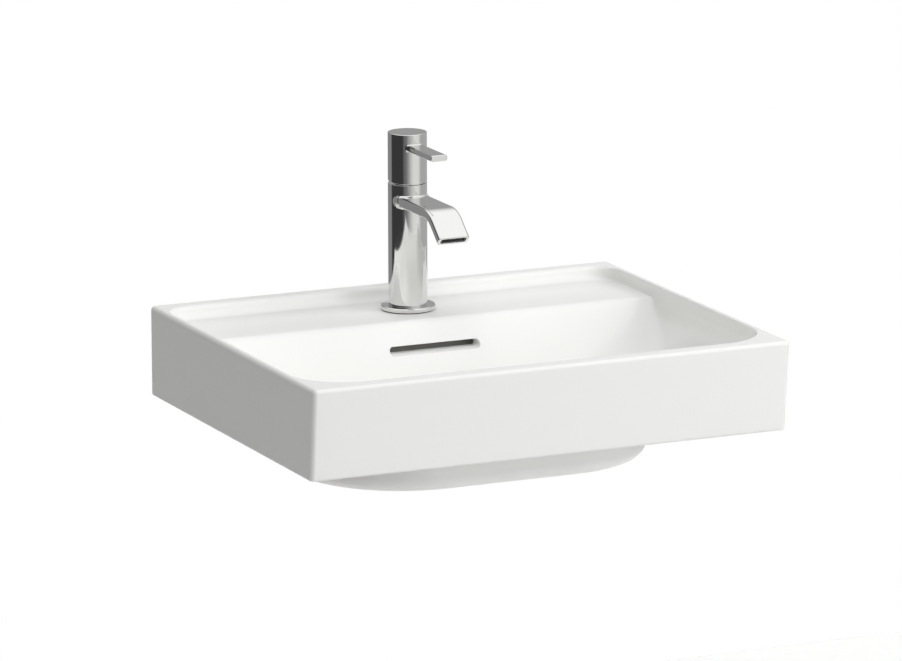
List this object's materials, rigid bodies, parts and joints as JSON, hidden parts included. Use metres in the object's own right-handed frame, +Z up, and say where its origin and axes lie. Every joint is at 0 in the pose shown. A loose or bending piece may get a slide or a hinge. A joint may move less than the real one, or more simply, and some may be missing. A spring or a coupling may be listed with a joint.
{
  "type": "washbasin",
  "caption": "Wall-hung rectangular ceramic washbasin with a rear tap deck, a slot overflow, a push-open waste and a single-lever mixer tap with a flat bent spout.",
  "frame": {"origin": "midway between the two wall-bolt holes, on the basin's back face, which lies against the wall", "axes": "+X along the wall to the right as seen from the room, +Y into the wall, +Z up"},
  "size_m": [0.5, 0.4096, 0.3204],
  "materials": {
    "glazed_white": "gloss",
    "chrome_plate": "polished",
    "brass_plain": "satin",
    "zinc_steel": "satin",
    "black_rubber": "matte",
    "white_plastic": "satin",
    "grey_plastic": "satin",
    "cartridge_ceramic": "satin"
  },
  "bodies": {
    "fixed": {"basin": "glazed_white", "aerator_housing": "grey_plastic", "aerator_insert": "grey_plastic", "aerator_seal": "black_rubber", "cartridge_base": "white_plastic", "cartridge_housing": "white_plastic", "cartridge_nut": "brass_plain", "cartridge_seals": "black_rubber", "clamp_gasket": "black_rubber", "clamp_washer": "zinc_steel", "click_housing": "grey_plastic", "click_spring": "zinc_steel", "cover_ring": "chrome_plate", "fixed_ceramic_disc": "cartridge_ceramic", "fixing_nut": "zinc_steel", "fixing_stud": "zinc_steel", "tap_base_flange": "chrome_plate", "tap_base_gasket": "black_rubber", "tap_body": "chrome_plate", "tap_spout": "chrome_plate", "waste_body": "chrome_plate", "waste_bottom_gasket": "black_rubber", "waste_nut": "brass_plain", "waste_top_gasket": "black_rubber", "waste_washer": "white_plastic"},
    "rotor": {"cartridge_rotor": "white_plastic", "rotor_pin": "zinc_steel"},
    "handle": {"spindle": "brass_plain", "handle_cap": "chrome_plate", "handle_lever": "chrome_plate", "handle_grub_screw": "zinc_steel", "grub_screw_cap": "grey_plastic"},
    "disc_slider": {"disc_carrier": "white_plastic", "moving_ceramic_disc": "cartridge_ceramic"},
    "plug": {"plug_cap": "chrome_plate", "plug_seal": "black_rubber", "plug_stem": "zinc_steel"}
  },
  "joints": [
    {"name": "handle_turn", "type": "hinge", "parent": "fixed", "child": "rotor", "pos_m": [0, -0.065, 0.1725], "axis": [0, 0, 1], "range_deg": [-45, 45]},
    {"name": "handle_tilt", "type": "hinge", "parent": "rotor", "child": "handle", "pos_m": [0, -0.065, 0.1725], "axis": [-1, 0, 0], "range_deg": [0, 12]},
    {"name": "disc_slide", "type": "slide", "parent": "rotor", "child": "disc_slider", "axis": [0, -1, 0], "range_m": [0, 0.003]},
    {"name": "plug_lift", "type": "slide", "parent": "fixed", "child": "plug", "axis": [0, 0, 1], "range_m": [0, 0.007], "deforming": ["click_spring"]}
  ],
  "couplings": [
    {"joint": "disc_slide", "follows": "handle_tilt", "m_per_rad": 0.0139}
  ]
}
